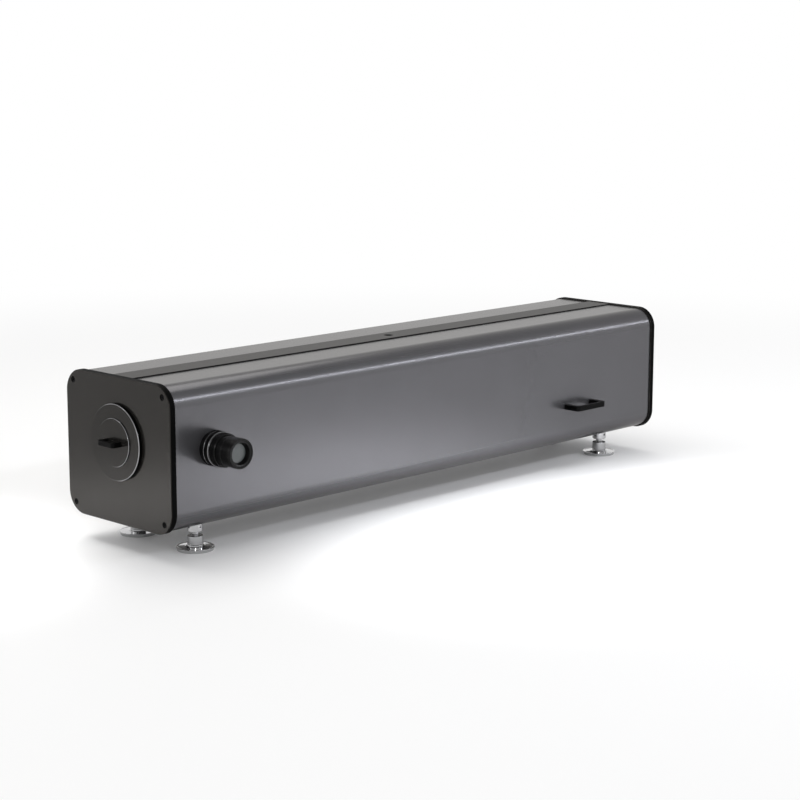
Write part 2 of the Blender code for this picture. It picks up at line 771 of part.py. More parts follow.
def build_mirror_mount():
    """Cell, clips, stand with gussets, three tilt screws and the draw bolt behind the mirror."""
    inner = mirror_radius + SEAT
    outer = inner + cell_wall
    seat = mirror_x + mirror_thickness + SEAT
    back = seat + cell_back
    lip = mirror_x - cell_lip
    edge = cell_chamfer
    profile = [(0, seat), (inner, seat), (inner, lip), (outer, lip), (outer, back - edge)]
    profile += [(outer - edge, back), (0, back)]
    at = (0, 0, beam_height)
    solid("mirror_cell", turned(profile, 36, "X", at), "black")
    for i in range(3):
        low = (lip - SEAT - clip_thickness, -clip_width / 2, mirror_radius - clip_overlap)
        high = (lip - SEAT, clip_width / 2, outer)
        clip = box(low, high)
        turn = Matrix.Rotation(pi / 2 + i * 2 * pi / 3, 3, "X")
        bmesh.ops.rotate(clip, verts=clip.verts, matrix=turn)
        bmesh.ops.translate(clip, verts=clip.verts, vec=at)
        solid("mirror_clip_%d" % (i + 1), clip, "machined")
    front = back + stand_gap
    rear = front + stand_thickness
    foot = base_top + SEAT
    top = beam_height + mirror_radius + stand_rise
    wide = stand_width / 2
    ell = [(front, foot), (rear + stand_foot, foot), (rear + stand_foot, foot + stand_foot_thickness)]
    ell += [(rear, foot + stand_foot_thickness), (rear, top), (front, top)]
    stand = solid("mirror_stand", prism(ell, -wide, wide, "Y"), "black")
    toe = rear + stand_foot - gusset_inset
    sill = foot + stand_foot_thickness
    root = rear - stand_thickness / 2
    web = [(root, sill - stand_foot_thickness / 2), (toe, sill - stand_foot_thickness / 2), (toe, sill)]
    web.append((root, foot + (top - foot) * gusset_rise))
    for side in (-1, 1):
        edge = side * (wide - gusset_inset)
        sides = sorted((edge, edge - side * gusset_width))
        boolean(stand, prism(web, sides[0], sides[1], "Y"), "UNION")
    spots = []
    for i in range(3):
        a = pi / 2 + i * 2 * pi / 3
        spots.append((tilt_screw_circle * cos(a), beam_height + tilt_screw_circle * sin(a)))
    holes = rods(spots, tilt_screw_radius + RUNNING, front - PAST, rear + PAST)
    centre = rods([(0, beam_height)], draw_bolt_radius + RUNNING, front - PAST, rear + PAST)
    boolean(stand, joined([holes, centre]))
    head = rear + SEAT
    knob = headed(tilt_screw_radius, tilt_knob_radius, back + SEAT, head, head + tilt_knob_height)
    for i, (y, z) in enumerate(spots):
        solid("tilt_screw_%d" % (i + 1), turned(knob, 12, "X"), "machined", (0, y, z))
    bolt = headed(draw_bolt_radius, draw_bolt_head, back + SEAT, head, head + draw_bolt_head_height)
    solid("mirror_draw_bolt", turned(bolt, 12, "X", at), "bolt")


def headed(stem, head, tip, under, top):
    """Profile of a plain bolt or thumb screw: its stem from tip to under, its head from under to top."""
    return [(0, tip), (stem, tip), (stem, under), (head, under), (head, top), (0, top)]


def build_fold_mirror():
    """The small flat mirror that turns the port's light along the tube, its cell and its arm."""
    fold, mirror, source = light_path()
    leaving = (mirror - fold).normalized()
    normal = (leaving - Vector((0, 1, 0))).normalized()
    turn = Vector((0, 0, 1)).rotation_difference(normal).to_matrix()
    deep = fold_thickness + SEAT
    rim = fold_radius + SEAT
    wall = rim + fold_cell_wall

    def tilted(profile, segments):
        shape = turned(profile, segments)
        bmesh.ops.rotate(shape, verts=shape.verts, matrix=turn)
        bmesh.ops.translate(shape, verts=shape.verts, vec=fold)
        return shape

    glass = tilted([(0, -fold_thickness), (fold_radius, -fold_thickness), (fold_radius, 0), (0, 0)], 24)
    solid("fold_mirror", glass, "mirror")
    behind = -deep - fold_cell_back
    lip = fold_cell_lip
    cell = tilted([(0, -deep), (rim, -deep), (rim, lip), (wall, lip), (wall, behind), (0, behind)], 24)
    solid("fold_mirror_cell", cell, "black")
    end = fold + normal * (behind - SEAT)
    across = Vector((0, 0, 1)).cross(normal).normalized() * fold_arm_width / 2
    straight = Vector((0, fold_arm_width / 2 if across.y > 0 else -fold_arm_width / 2, 0))
    seat = Vector((plate_thickness + SEAT, end.y, end.z))
    up = Vector((0, 0, fold_arm_height / 2))
    loops = []
    for middle, side in ((seat, straight), (end, across)):
        loops.append([middle - side - up, middle + side - up, middle + side + up, middle - side + up])
    solid("fold_mirror_arm", loft(loops), "black")


def build_baffles():
    """Thin baffles across the tube, open for the beam and for the cone from the fold mirror."""
    fold, mirror, source = light_path()
    wide = half_width - shell_wall - baffle_clearance
    upper = half_height - shell_wall - baffle_clearance
    top = rail_under - baffle_clearance
    shoulder = base_top + SEAT
    low = base_top - baffle_groove + SEAT
    clear_of_ports = screw_port_offset - screw_port_radius - baffle_clearance
    cut = 2 * (inner_radius - baffle_clearance) - clear_of_ports * 2 ** 0.5
    outline = [(base_width / 2, low), (base_width / 2, shoulder), (wide - cut + upper + shoulder, shoulder)]
    outline += [(wide, cut - upper), (wide, upper - cut), (wide - cut + upper - top, top)]
    outline += [(-y, z) for y, z in reversed(outline)]
    half = baffle_thickness / 2
    for i, x in enumerate(baffle_stations()):
        baffle = solid("baffle_%d" % (i + 1), prism(outline, x - half, x + half), "black")
        cone = fold.lerp(mirror, (x - fold.x) / (mirror.x - fold.x))
        cone_radius = clear_radius * (x - source.x) / (mirror.x - source.x) + baffle_margin
        boolean(baffle, rods([(0, beam_height)], clear_radius + baffle_margin, x - PAST, x + PAST, "X", 32))
        boolean(baffle, rods([(cone.y, cone.z)], cone_radius, x - 2 * PAST, x + 2 * PAST, "X", 24))


clear_scene()
frame = stand_frame()
build_shells()
build_rail()
build_base()
build_plates()
build_stop_ring()
build_cap()
build_side_handles()
build_port()
build_feet()
build_mirror()
build_mirror_mount()
build_fold_mirror()
build_baffles()
bpy.context.view_layer.update()
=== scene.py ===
from math import cos, pi, radians, sin

import bmesh
import bpy
from mathutils import Matrix, Vector


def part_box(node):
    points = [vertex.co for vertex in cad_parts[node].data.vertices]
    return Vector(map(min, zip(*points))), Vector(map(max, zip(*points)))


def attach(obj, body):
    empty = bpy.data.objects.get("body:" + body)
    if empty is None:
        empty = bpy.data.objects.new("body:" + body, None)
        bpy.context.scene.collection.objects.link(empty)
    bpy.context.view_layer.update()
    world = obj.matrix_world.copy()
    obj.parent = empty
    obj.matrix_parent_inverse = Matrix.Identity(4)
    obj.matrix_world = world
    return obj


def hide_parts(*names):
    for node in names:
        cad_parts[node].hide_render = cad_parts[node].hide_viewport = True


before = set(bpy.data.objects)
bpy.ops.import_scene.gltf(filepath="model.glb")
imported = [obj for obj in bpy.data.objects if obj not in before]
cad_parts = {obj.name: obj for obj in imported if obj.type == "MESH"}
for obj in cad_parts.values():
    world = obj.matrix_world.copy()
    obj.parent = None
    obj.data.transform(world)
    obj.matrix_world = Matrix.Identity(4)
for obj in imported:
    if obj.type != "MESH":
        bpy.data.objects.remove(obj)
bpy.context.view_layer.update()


# The camera stands in front of the aperture end and the port's side, a little above the housing, with a
# long lens, as the photograph was taken.
camera_data = bpy.data.cameras.new("camera")
camera_data.sensor_width = 36
camera_data.lens = 91.17
camera_data.shift_x = -0.0346
camera_data.shift_y = -0.0014
camera = bpy.data.objects.new("camera", camera_data)
bpy.context.scene.collection.objects.link(camera)
heading = Matrix.Rotation(radians(-46.284), 4, "Z")
tilt = Matrix.Rotation(radians(90 - 10.711), 4, "X")
roll = Matrix.Rotation(radians(0.251), 4, "Z")
camera.matrix_world = Matrix.Translation((-3.3803, -3.3566, 1.1315)) @ heading @ tilt @ roll
bpy.context.scene.camera = camera
bpy.context.scene.view_settings.view_transform = "Standard"


# The studio: a wide pale floor, a white surround, soft lights overhead, in front and at the aperture end,
# a long narrow one that draws the thin bright line on the housing's upper corner, and two small ones that
# light the floor, so that the wall and the end plate mirror a paler patch low down.
floor_shape = bmesh.new()
bmesh.ops.create_grid(floor_shape, x_segments=1, y_segments=1, size=40)
floor_mesh = bpy.data.meshes.new("studio_floor")
floor_shape.to_mesh(floor_mesh)
floor_shape.free()
studio_floor = bpy.data.objects.new("studio_floor", floor_mesh)
bpy.context.scene.collection.objects.link(studio_floor)
floor_finish = bpy.data.materials.new("pale_floor")
floor_finish.use_nodes = True
surround = bpy.data.worlds.new("surround")
surround.use_nodes = True


def seen_rays(tree):
    """1 for rays from the camera, and for those that metal and glass send on; 0 for the light on things."""
    path = tree.nodes.new("ShaderNodeLightPath").outputs
    both = tree.nodes.new("ShaderNodeMath")
    both.operation = "ADD"
    tree.links.new(path["Is Camera Ray"], both.inputs[0])
    tree.links.new(path["Is Glossy Ray"], both.inputs[1])
    seen = tree.nodes.new("ShaderNodeMath")
    seen.operation = "ADD"
    seen.use_clamp = True
    tree.links.new(both.outputs[0], seen.inputs[0])
    tree.links.new(path["Is Transmission Ray"], seen.inputs[1])
    return seen.outputs[0]


floor_tree = floor_finish.node_tree
floor_shader = floor_tree.nodes["Principled BSDF"]
floor_shader.inputs["Base Color"].default_value = (0.93, 0.93, 0.93, 1)
floor_shader.inputs["Roughness"].default_value = 0.6
backdrop = floor_tree.nodes.new("ShaderNodeEmission")
away = floor_tree.nodes.new("ShaderNodeVectorMath")
away.operation = "LENGTH"
floor_tree.links.new(floor_tree.nodes.new("ShaderNodeTexCoord").outputs["Object"], away.inputs[0])
fade = floor_tree.nodes.new("ShaderNodeMapRange")
fade.interpolation_type = "SMOOTHSTEP"
fade.inputs["From Min"].default_value = 0.9
fade.inputs["From Max"].default_value = 4.0
fade.inputs["To Min"].default_value = 0.05
floor_tree.links.new(away.outputs["Value"], fade.inputs["Value"])
share = floor_tree.nodes.new("ShaderNodeMath")
share.operation = "MULTIPLY"
floor_tree.links.new(fade.outputs["Result"], share.inputs[1])
floor_tree.links.new(seen_rays(floor_tree), share.inputs[0])
blend = floor_tree.nodes.new("ShaderNodeMixShader")
floor_tree.links.new(share.outputs[0], blend.inputs["Fac"])
floor_tree.links.new(floor_shader.outputs[0], blend.inputs[1])
floor_tree.links.new(backdrop.outputs[0], blend.inputs[2])
floor_tree.links.new(blend.outputs[0], floor_tree.nodes["Material Output"].inputs["Surface"])
floor_mesh.materials.append(floor_finish)

air = surround.node_tree
height = air.nodes.new("ShaderNodeSeparateXYZ")
air.links.new(air.nodes.new("ShaderNodeTexCoord").outputs["Generated"], height.inputs[0])
ceiling = air.nodes.new("ShaderNodeMapRange")
ceiling.inputs["From Min"].default_value = 0.3
ceiling.inputs["From Max"].default_value = 0.7
ceiling.inputs["To Min"].default_value = 1.0
ceiling.inputs["To Max"].default_value = 0.5
air.links.new(height.outputs["Z"], ceiling.inputs["Value"])
strength = air.nodes.new("ShaderNodeMix")
strength.inputs["A"].default_value = 0.6
air.links.new(ceiling.outputs["Result"], strength.inputs["B"])
air.links.new(seen_rays(air), strength.inputs["Factor"])
air.nodes["Background"].inputs["Color"].default_value = (1, 1, 1, 1)
air.links.new(strength.outputs["Result"], air.nodes["Background"].inputs["Strength"])
bpy.context.scene.world = surround


def soft_light(name, place, target, size, power, colour=(1, 1, 1), spread=180):
    """A rectangular soft light that faces a point, with its beam's spread in degrees."""
    data = bpy.data.lights.new(name, "AREA")
    data.shape = "RECTANGLE"
    data.size, data.size_y = size
    data.energy = power
    data.color = colour
    data.spread = radians(spread)
    light = bpy.data.objects.new(name, data)
    light.location = place
    aim = Vector(target) - Vector(place)
    light.rotation_euler = aim.to_track_quat("-Z", "Y").to_euler()
    light.visible_camera = False
    bpy.context.scene.collection.objects.link(light)


soft_light("overhead_light", (0.3, 1.0, 3.4), (0, 0, 0.2), size=(4.0, 2.4), power=62, colour=(1, 0.985, 0.96))
soft_light("end_light", (-3.6, 1.6, 1.6), (-0.8, 0, 0.2), size=(1.8, 1.8), power=15)
soft_light("strip_light", (3.2, -2.72, 1.93), (3.2, 0, 0.3), size=(6.5, 0.16), power=62, colour=(0.92, 0.94, 1))
soft_light("front_light", (-3.3, -3.5, 1.7), (-0.8, 0, 0.2), size=(0.5, 0.5), power=22)
soft_light("floor_light_side", (0.10, -0.60, 0.9), (0.10, -0.60, 0), size=(0.9, 0.3), power=5.0,
           colour=(0.95, 0.965, 1), spread=65)
soft_light("floor_light_end", (-1.2, 0.35, 0.8), (-1.2, 0.35, 0), size=(0.4, 0.4), power=2.2, spread=70)


# The housing is two extruded half shells of grey anodised aluminium, which meet under the top rail and
# on the base plate. They are bead blasted before anodising, which leaves a fine, even satin surface.
plate_low, plate_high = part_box("aperture_plate")
shell_low, shell_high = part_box("port_side_shell")
far_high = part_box("mirror_end_plate")[1]
tube = Vector((plate_low.x, (plate_low.y + plate_high.y) / 2, (plate_low.z + plate_high.z) / 2))
tube_length = far_high.x - tube.x
half_width = tube.y - shell_low.y
half_height = (shell_high.z - shell_low.z) / 2
shell_start = shell_low.x - tube.x
shell_end = shell_high.x - tube.x
shell_corner = 0.0467
shell_wall = 0.004
rail_edge = 0.024
port_x = 0.116
port_height = 0.016
port_hole = 0.0349
clearance = 0.0003


def arc(cy, cz, radius, start, end, count=20):
    """Points on an arc, angles in degrees."""
    angles = [radians(start + (end - start) * i / count) for i in range(count + 1)]
    return [(cy + radius * cos(a), cz + radius * sin(a)) for a in angles]


def loft(loops):
    """A closed solid through loops of points with the same count."""
    shape = bmesh.new()
    rings = [[shape.verts.new(point) for point in loop] for loop in loops]
    shape.faces.new(rings[0])
    shape.faces.new(rings[-1])
    for near, far in zip(rings, rings[1:]):
        for i in range(len(near)):
            j = (i + 1) % len(near)
            shape.faces.new((near[i], near[j], far[j], far[i]))
    return shape


def eased(profile, edge):
    """A (radius, height) profile with each corner off the axis rounded over a short edge."""
    points = [Vector(point) for point in profile]
    if not edge:
        return points
    closed = points[0].x > 0 and points[-1].x > 0
    smooth = []
    for i, here in enumerate(points):
        on_end = not closed and i in (0, len(points) - 1)
        if on_end or here.x == 0:
            smooth.append(here)
            continue
        before = points[i - 1] - here
        after = points[(i + 1) % len(points)] - here
        reach = min(edge, before.length * 0.4, after.length * 0.4)
        first = here + before.normalized() * reach
        last = here + after.normalized() * reach
        for t in (0, 1 / 3, 2 / 3, 1):
            smooth.append(first * (1 - t) ** 2 + here * 2 * t * (1 - t) + last * t ** 2)
    return smooth


def turned(profile, axis, at, segments=96, edge=0.0003):
    """Turns a profile about an axis through a point, and notes how far round the profile each point lies."""
    place = {
        "X": lambda r, a, h: Vector((h, r * cos(a), r * sin(a))),
        "Y": lambda r, a, h: Vector((r * sin(a), h, r * cos(a))),
        "Z": lambda r, a, h: Vector((r * cos(a), r * sin(a), h)),
    }[axis]
    shape = bmesh.new()
    turning = shape.verts.layers.float.new("turning")
    points = eased(profile, edge)
    rings = []
    run = 0
    for i, point in enumerate(points):
        run += (point - points[i - 1]).length if i else 0
        count = segments if point.x > 0 else 1
        ring = [shape.verts.new(Vector(at) + place(point.x, 2 * pi * k / count, point.y)) for k in range(count)]
        for vert in ring:
            vert[turning] = run
        rings.append(ring)
    pairs = list(zip(rings, rings[1:]))
    if len(rings[0]) > 1 and len(rings[-1]) > 1:
        pairs.append((rings[-1], rings[0]))
    for near, far in pairs:
        for i in range(segments):
            j = (i + 1) % segments
            if len(near) == 1:
                shape.faces.new((near[0], far[j], far[i]))
            elif len(far) == 1:
                shape.faces.new((near[i], near[j], far[0]))
            else:
                shape.faces.new((near[i], near[j], far[j], far[i]))
    return shape


def model(name, shape):
    """Makes an object from a shape drawn in the tube's own measures."""
    bmesh.ops.recalc_face_normals(shape, faces=shape.faces)
    bmesh.ops.translate(shape, verts=shape.verts, vec=tube)
    mesh = bpy.data.meshes.new(name)
    shape.to_mesh(mesh)
    shape.free()
    piece = bpy.data.objects.new(name, mesh)
    bpy.context.scene.collection.objects.link(piece)
    return piece


def settle(piece):
    """Turns what the modifiers make into the piece's plain mesh."""
    bpy.context.view_layer.update()
    made = piece.evaluated_get(bpy.context.evaluated_depsgraph_get())
    mesh = bpy.data.meshes.new_from_object(made)
    piece.modifiers.clear()
    piece.data = mesh


def cut(piece, *shapes):
    """Cuts closed shapes out of a piece."""
    for shape in shapes:
        tool = model(piece.name + "_tool", shape)
        modifier = piece.modifiers.new("cut", "BOOLEAN")
        modifier.operation = "DIFFERENCE"
        modifier.solver = "EXACT"
        modifier.object = tool
        settle(piece)
        bpy.data.objects.remove(tool)


def fit(piece, finish, body, slot, *nodes):
    """Gives a finished piece its material and smooth shading, and puts it on its body."""
    piece.data.materials.clear()
    piece.data.materials.append(finish)
    piece.data.shade_smooth()
    piece.data.set_sharp_from_angle(angle=radians(28))
    piece.modifiers.new("even_normals", "WEIGHTED_NORMAL").keep_sharp = True
    settle(piece)
    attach(piece, body)
    if nodes:
        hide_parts(*nodes)


def metal_finish(name, colour, roughness, metallic, grain, relief, spread=0.08, turned_marks=0, gloss=0.5,
                 gloss_colour=(1, 1, 1)):
    """A metal surface with an uneven tone, a fine grain in colour, roughness and relief, and turning marks."""
    finish = bpy.data.materials.new(name)
    finish.use_nodes = True
    tree = finish.node_tree
    shader = tree.nodes["Principled BSDF"]
    shader.inputs["Metallic"].default_value = metallic
    shader.inputs["Specular IOR Level"].default_value = gloss
    shader.inputs["Specular Tint"].default_value = (*gloss_colour, 1)
    place = tree.nodes.new("ShaderNodeTexCoord").outputs["Object"]
    mapping = tree.nodes.new("ShaderNodeMapping")
    mapping.inputs["Scale"].default_value = grain
    tree.links.new(place, mapping.inputs["Vector"])
    fine = tree.nodes.new("ShaderNodeTexNoise")
    fine.inputs["Scale"].default_value = 1
    fine.inputs["Detail"].default_value = 3
    tree.links.new(mapping.outputs["Vector"], fine.inputs["Vector"])
    height = fine.outputs["Fac"]
    if turned_marks:
        attribute = tree.nodes.new("ShaderNodeAttribute")
        attribute.attribute_name = "turning"
        pitch = tree.nodes.new("ShaderNodeMath")
        pitch.operation = "MULTIPLY"
        pitch.inputs[1].default_value = turned_marks
        tree.links.new(attribute.outputs["Fac"], pitch.inputs[0])
        marks = tree.nodes.new("ShaderNodeTexNoise")
        marks.noise_dimensions = "1D"
        marks.inputs["Scale"].default_value = 1
        marks.inputs["Detail"].default_value = 2
        tree.links.new(pitch.outputs["Value"], marks.inputs["W"])
        both = tree.nodes.new("ShaderNodeMix")
        both.inputs["Factor"].default_value = 0.6
        tree.links.new(height, both.inputs["A"])
        tree.links.new(marks.outputs["Fac"], both.inputs["B"])
        height = both.outputs["Result"]
    broad = tree.nodes.new("ShaderNodeTexNoise")
    broad.inputs["Scale"].default_value = 7
    broad.inputs["Detail"].default_value = 2
    tree.links.new(place, broad.inputs["Vector"])
    tone = tree.nodes.new("ShaderNodeMix")
    tone.inputs["Factor"].default_value = 0.5
    tree.links.new(height, tone.inputs["A"])
    tree.links.new(broad.outputs["Fac"], tone.inputs["B"])
    shade = tree.nodes.new("ShaderNodeMix")
    shade.data_type = "RGBA"
    low = [channel * (1 - spread) for channel in colour]
    high = [min(channel * (1 + spread), 1) for channel in colour]
    shade.inputs["A"].default_value = (*low, 1)
    shade.inputs["B"].default_value = (*high, 1)
    stretch = tree.nodes.new("ShaderNodeMapRange")
    stretch.inputs["From Min"].default_value = 0.35
    stretch.inputs["From Max"].default_value = 0.65
    tree.links.new(tone.outputs["Result"], stretch.inputs["Value"])
    tree.links.new(stretch.outputs["Result"], shade.inputs["Factor"])
    tree.links.new(shade.outputs["Result"], shader.inputs["Base Color"])
    sheen = tree.nodes.new("ShaderNodeMapRange")
    sheen.inputs["From Min"].default_value = 0.3
    sheen.inputs["From Max"].default_value = 0.7
    sheen.inputs["To Min"].default_value = roughness - spread * 0.3
    sheen.inputs["To Max"].default_value = roughness + spread * 0.3
    tree.links.new(tone.outputs["Result"], sheen.inputs["Value"])
    tree.links.new(sheen.outputs["Result"], shader.inputs["Roughness"])
    bump = tree.nodes.new("ShaderNodeBump")
    bump.inputs["Strength"].default_value = relief
    bump.inputs["Distance"].default_value = 0.00005
    tree.links.new(height, bump.inputs["Height"])
    tree.links.new(bump.outputs["Normal"], shader.inputs["Normal"])
    return finish


def through(places, radius, low, high, axis, segments=48):
    """Round holes along an axis, as cutting shapes. Places are the other two measures."""
    spread = {"X": lambda u, v: (0, u, v), "Y": lambda u, v: (u, 0, v), "Z": lambda u, v: (u, v, 0)}[axis]
    profile = [(0, low), (radius, low), (radius, high), (0, high)]
    return [turned(profile, axis, spread(u, v), segments, edge=0) for u, v in places]


housing_finish = metal_finish("grey_anodised_housing", (0.106, 0.105, 0.112), roughness=0.25, metallic=0.7,
                              grain=(700, 700, 700), relief=0.1, spread=0.04, gloss=0.4,
                              gloss_colour=(0.76, 0.745, 0.72))
foot_inset = 0.126
foot_x = (foot_inset, tube_length - foot_inset)
foot_y = 0.098
foot_hole = 0.0086
handle_x = tube_length - 0.305
handle_z = -0.0545
handle_screw_x = 0.0485
handle_screw_hole = 0.0033
overlap = 0.01
for name, side in (("port_side", -1), ("far_side", 1)):
    section = [(rail_edge, half_height)]
    section += arc(half_width - shell_corner, half_height - shell_corner, shell_corner, 90, 0)
    section += arc(half_width - shell_corner, shell_corner - half_height, shell_corner, 0, -90)
    section += [(clearance, -half_height), (clearance, shell_wall - half_height)]
    inner = shell_corner - shell_wall
    section += arc(half_width - shell_corner, shell_corner - half_height, inner, -90, 0)
    section += arc(half_width - shell_corner, half_height - shell_corner, inner, 0, 90)
    section.append((rail_edge, half_height - shell_wall))
    walls = loft([[(x, side * y, z) for y, z in section] for x in (shell_start, shell_end)])
    shell = model(name + "_housing", walls)
    feet = [(x, side * foot_y) for x in foot_x]
    cut(shell, *through(feet, foot_hole, -half_height - overlap, -half_height + overlap, "Z"))
    wall = sorted((side * (half_width - overlap), side * (half_width + overlap)))
    holes = [(handle_x - handle_screw_x, handle_z), (handle_x + handle_screw_x, handle_z)]
    cut(shell, *through(holes, handle_screw_hole, *wall, "Y", segments=24))
    if side < 0:
        cut(shell, *through([(port_x, port_height)], port_hole, *wall, "Y", segments=96))
    fit(shell, housing_finish, "housing", "housing", name + "_shell")


# The top rail closes the joint between the shells: a darker anodised extrusion with a raised face and square edges,
# drilled at mid length for a lifting eye. Its side faces are painted near black, as painted shade along the raised
# edges.
rail_finish = metal_finish("dark_anodised_rail", (0.044, 0.042, 0.040), roughness=0.42, metallic=0.4,
                           grain=(2, 500, 500), relief=0.02, spread=0.03, gloss=0.3,
                           gloss_colour=(0.5, 0.49, 0.48))
# Painted shade: a near-black copy of the rail's colour for its side faces.
shadow_finish = metal_finish("painted_shade_rail_sides", (0.006, 0.006, 0.006), roughness=0.5, metallic=0.0,
                             grain=(2, 500, 500), relief=0.1, spread=0.1, gloss=0.1)
rail_low, rail_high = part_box("top_rail")
rail_half = (rail_high.y - rail_low.y) / 2
rail_top = rail_high.z - tube.z
rail_bottom = rail_low.z - tube.z
rail_seat = half_height + clearance
rail_ledge = half_height - shell_wall - clearance
rail_neck = rail_edge - clearance
edge = 0.0005
half = [(rail_half - edge, rail_top), (rail_half, rail_top - edge), (rail_half, rail_seat), (rail_neck, rail_seat)]
half += [(rail_neck, rail_ledge), (rail_half, rail_ledge), (rail_half, rail_bottom)]
outline = half + [(-y, z) for y, z in reversed(half)]
rail = model("raised_rail", loft([[(x, y, z) for y, z in outline] for x in (shell_start, shell_end)]))
eye_hole = 0.009
eye_floor = rail_top - 0.008
hole = [(0, eye_floor), (eye_hole, eye_floor), (eye_hole, rail_top - 0.0022), (0.0122, rail_top + 0.001)]
hole.append((0, rail_top + 0.001))
cut(rail, turned(hole, "Z", (tube_length / 2, 0, 0), segments=64, edge=0))
fit(rail, rail_finish, "housing", "rail", "top_rail")


def paint_by_facing(piece, finish, toward, low, high):
    """Gives the faces that turn to a direction by a cosine in a range a colour of their own, to paint shade and
    highlight by the way a face turns.
    """
    piece.data.materials.append(finish)
    for face in piece.data.polygons:
        if low <= face.normal.dot(Vector(toward)) < high:
            face.material_index = len(piece.data.materials) - 1


# Painted shade: the rail's side faces are coloured near black by the way they face.
paint_by_facing(rail, shadow_finish, toward=(0, 0, 1), low=-0.5, high=0.9)


# The end plates are thick aluminium, milled with a small chamfer round the outer face, bead blasted and
# black anodised. Each is held by four socket screws in counterbores with tapered mouths at its corners.
plate_finish = metal_finish("black_anodised_plate", (0.010, 0.0093, 0.0086), roughness=0.20, metallic=0.0,
                            grain=(700, 700, 700), relief=0.1, spread=0.06, gloss=0.24,
                            gloss_colour=(1, 0.93, 0.86))
# Painted shade: the rims and bore walls get a darker black than the faces of the same anodised plate and cap.
shaded_edge_finish = metal_finish("painted_shade_edges", (0.0015, 0.0015, 0.0015), roughness=0.55, metallic=0.0,
                           grain=(700, 700, 700), relief=0.2, spread=0.06, gloss=0.02)
# Painted highlight: a bright metal colour on the chamfers of the cap and the focusing ring stands in for their
# glint.
highlight_bevel_finish = metal_finish("painted_highlight_bevel", (0.33, 0.33, 0.34), roughness=0.22, metallic=1.0,
                            grain=(900, 900, 900), relief=0.1)
plate_half_y = (plate_high.y - plate_low.y) / 2
plate_half_z = (plate_high.z - plate_low.z) / 2
plate_thick = plate_high.x - plate_low.x
plate_corner = 0.050
plate_bevel = 0.0012
plate_back_edge = 0.0005
beam_height = 0.0195
cap_bore = 0.0781
screw_inset = 0.0245
screw_y = plate_half_y - screw_inset
screw_z = plate_half_z - screw_inset
screw_places = [(sy * screw_y, sz * screw_z) for sy in (-1, 1) for sz in (-1, 1)]
sunk_mouth = 0.0068
sunk_hole = 0.0056
sunk_depth = 0.0072
shank_hole = 0.0033
beyond = 0.03
counterbore = [(0, -overlap), (sunk_mouth, -overlap), (sunk_mouth, 0), (sunk_hole, 0.0027), (sunk_hole, sunk_depth)]
counterbore += [(shank_hole, sunk_depth), (shank_hole, beyond), (0, beyond)]
lead_in = cap_bore + 0.0008


def plate_loop(x, inset):
    """The plate's outline at x, drawn in by a distance."""
    y = plate_half_y - plate_corner
    z = plate_half_z - plate_corner
    radius = plate_corner - inset
    points = arc(y, z, radius, 0, 90) + arc(-y, z, radius, 90, 180)
    points += arc(-y, -z, radius, 180, 270) + arc(y, -z, radius, 270, 360)
    return [(x, u, v) for u, v in points]


for name, outer, inward in (("aperture_end", 0, 1), ("mirror_end", tube_length, -1)):
    depths = [(0, plate_bevel * 1.15), (plate_bevel * 0.12, plate_bevel), (plate_bevel, plate_bevel * 0.12)]
    depths += [(plate_bevel * 1.2, 0), (plate_thick - plate_back_edge, 0), (plate_thick, plate_back_edge)]
    plate = model(name + "_cover", loft([plate_loop(outer + inward * depth, inset) for depth, inset in depths]))
    bore = [(r, outer + inward * h) for r, h in counterbore]
    cut(plate, *[turned(bore, "X", (0, y, z), segments=48, edge=0) for y, z in screw_places])
    if inward > 0:
        mouth = [(0, -overlap), (lead_in, -overlap), (lead_in, 0), (cap_bore, lead_in - cap_bore)]
        mouth += [(cap_bore, beyond), (0, beyond)]
        cut(plate, turned(mouth, "X", (0, 0, beam_height), segments=128, edge=0))
    node = "aperture_plate" if inward > 0 else "mirror_end_plate"
    fit(plate, plate_finish, "housing", "plate", node)
    # Painted shade: the plate's rim and the walls of its bores are coloured darker than its face.
    paint_by_facing(plate, shaded_edge_finish, toward=(1, 0, 0), low=-0.5, high=0.5)


# Socket screws of black oxidised steel: a chamfered cylinder head with a hexagon socket. The plates' are
# sunk in counterbores, and a row along each shell's underside holds it to the base plate.
bolt_finish = metal_finish("black_oxide_steel", (0.004, 0.004, 0.0045), roughness=0.38, metallic=0.0,
                           grain=(1500, 1500, 1500), relief=0.2, gloss=0.06)
screw_tree = bpy.data.node_groups.new("socket_screws", "GeometryNodeTree")
screw_tree.interface.new_socket("Places", in_out="INPUT", socket_type="NodeSocketGeometry")
screw_sizes = {}
for label, value in (("Head radius", 0.005), ("Head height", 0.006), ("Chamfer", 0.0006),
                     ("Socket radius", 0.0029), ("Socket depth", 0.003)):
    socket = screw_tree.interface.new_socket(label, in_out="INPUT", socket_type="NodeSocketFloat")
    socket.default_value = value
    screw_sizes[label] = socket.identifier
screw_facing = screw_tree.interface.new_socket("Facing", in_out="INPUT", socket_type="NodeSocketRotation").identifier
screw_tree.interface.new_socket("Screws", in_out="OUTPUT", socket_type="NodeSocketGeometry")


def add_node(tree, kind, inputs=(), **settings):
    """Adds a node to a tree, sets it up, and feeds its inputs from values or from other sockets."""
    node = tree.nodes.new(kind)
    for key, value in settings.items():
        setattr(node, key, value)
    for key, value in dict(inputs).items():
        if isinstance(value, bpy.types.NodeSocket):
            tree.links.new(value, node.inputs[key])
        else:
            node.inputs[key].default_value = value
    return node


def figure(tree, operation, first, second):
    """A sum or product of two numbers in a tree."""
    return add_node(tree, "ShaderNodeMath", {0: first, 1: second}, operation=operation).outputs[0]


